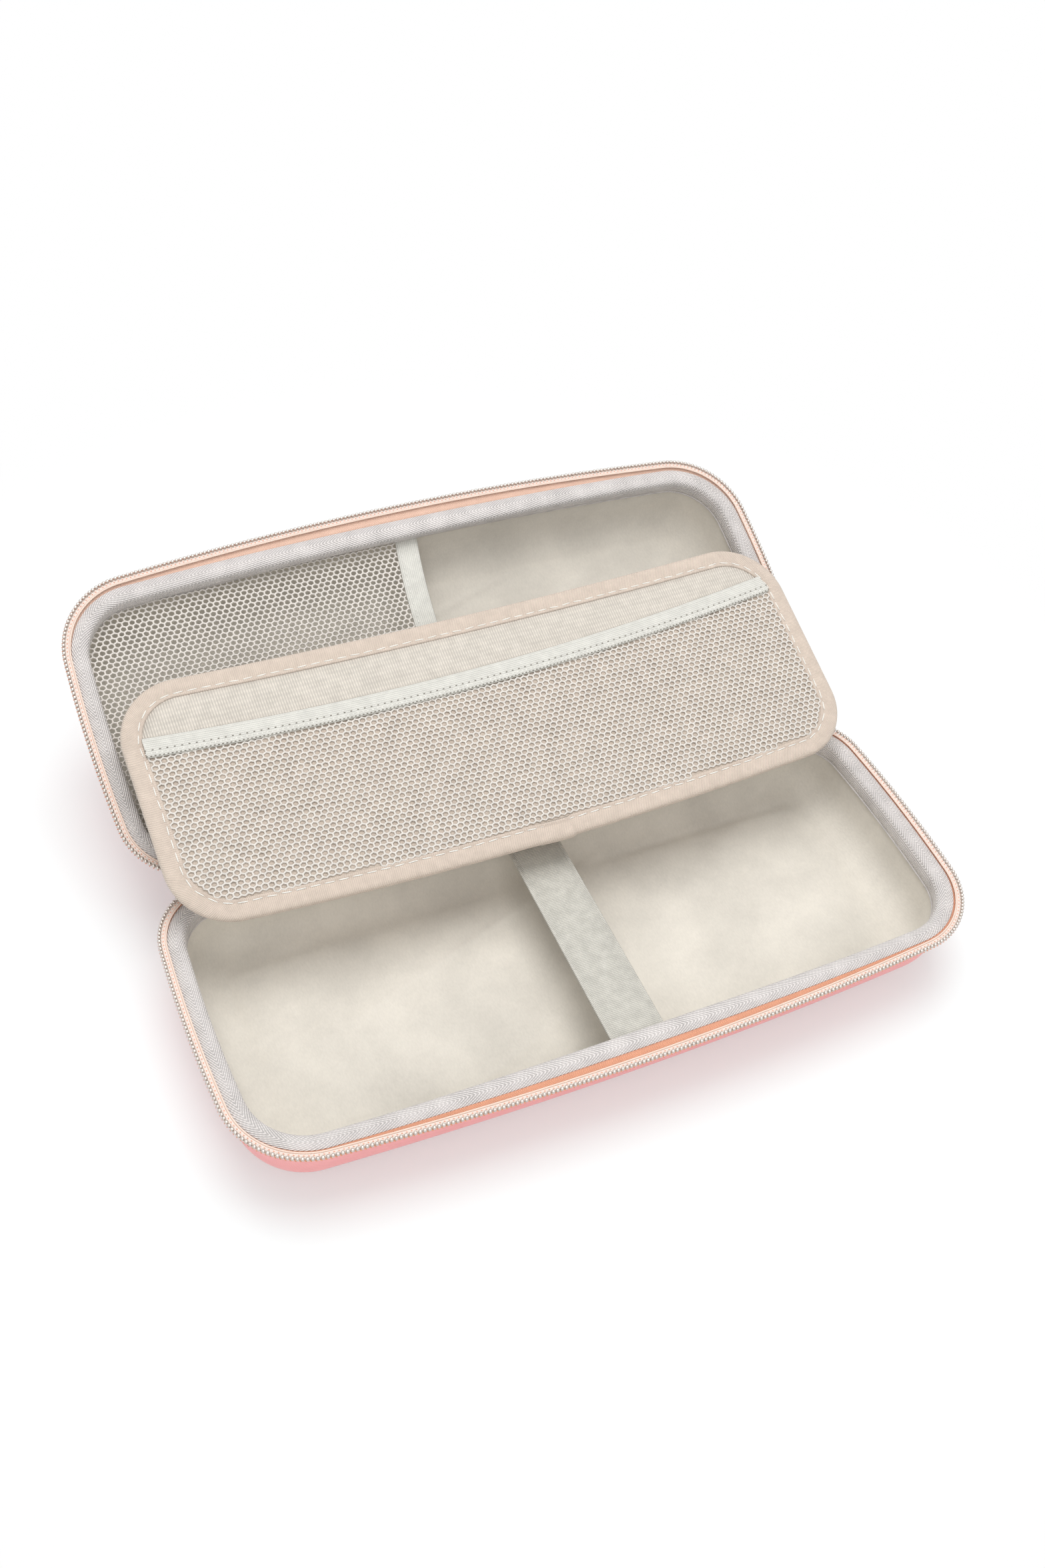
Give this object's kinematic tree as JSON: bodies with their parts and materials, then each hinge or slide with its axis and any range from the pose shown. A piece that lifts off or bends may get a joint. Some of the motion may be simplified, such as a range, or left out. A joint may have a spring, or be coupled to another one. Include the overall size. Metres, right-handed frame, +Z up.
{
  "type": "stethoscope hard case",
  "caption": "Zip hard case for a stethoscope, open: pressed foam halves, pile lining, elastic strap, net pocket in the lid and a divider with a net pocket",
  "frame": {"origin": "centre of the base's flat underside", "axes": "+X along the case, to the right as seen from its free long side; +Y towards the hinge side; +Z up, out of the base's mouth"},
  "size_m": [0.2894, 0.242, 0.0817],
  "materials": {
    "shell": "pressed foam with smooth matt pink covering",
    "lining": "short beige pile",
    "rim_tape": "light grey herringbone tape",
    "zip_tape": "peach woven zip tape",
    "teeth": "rose gold teeth",
    "slider": "rose gold slider and pull",
    "spine": "pink woven spine fabric",
    "facing": "beige knit facing",
    "binding": "peach beige ribbed binding",
    "board": "stiffening board",
    "net": "cream hexagonal net",
    "band": "pale ribbed elastic band",
    "strap": "grey beige elastic"
  },
  "bodies": {
    "base": {"base_lining": "lining", "base_rim_tape": "rim_tape", "base_shell": "shell", "base_zip_stop_left": "teeth", "base_zip_stop_right": "teeth", "base_zip_tape": "zip_tape", "base_zip_teeth": "teeth", "divider_strip_base": "binding", "elastic_strap": "strap", "slider_left": "slider", "slider_right": "slider", "spine_base_half": "spine", "zip_tail_left": "zip_tape", "zip_tail_right": "zip_tape"},
    "lid": {"lid_lining": "lining", "lid_pocket_band": "band", "lid_pocket_net": "net", "lid_rim_tape": "rim_tape", "lid_shell": "shell", "lid_zip_stop_left": "teeth", "lid_zip_stop_right": "teeth", "lid_zip_tape": "zip_tape", "lid_zip_teeth": "teeth", "spine_lid_half": "spine"},
    "divider": {"divider_backing": "facing", "divider_band": "band", "divider_binding": "binding", "divider_board": "board", "divider_facing": "facing", "divider_net": "net", "divider_strip_panel": "binding"},
    "pull_left": {"pull_left": "slider"},
    "pull_right": {"pull_right": "slider"}
  },
  "joints": [
    {"name": "lid_hinge", "type": "hinge", "parent": "base", "child": "lid", "pos_m": [0, 0.0633, 0.032], "axis": [1, 0, 0], "range_deg": [-15, 156.5]},
    {"name": "divider_hinge", "type": "hinge", "parent": "base", "child": "divider", "pos_m": [0, 0.0407, 0.03615], "axis": [1, 0, 0], "range_deg": [-15.6, 162.1]},
    {"name": "pull_left_hinge", "type": "hinge", "parent": "base", "child": "pull_left", "pos_m": [-0.109, 0.0658, 0.02355], "axis": [1, 0, 0], "range_deg": [-12, 20]},
    {"name": "pull_right_hinge", "type": "hinge", "parent": "base", "child": "pull_right", "pos_m": [0.109, 0.0658, 0.02355], "axis": [1, 0, 0], "range_deg": [-12, 20]}
  ],
  "couplings": [
    {"joint": "divider_hinge", "follows": "lid_hinge", "ratio": 1.0349}
  ]
}
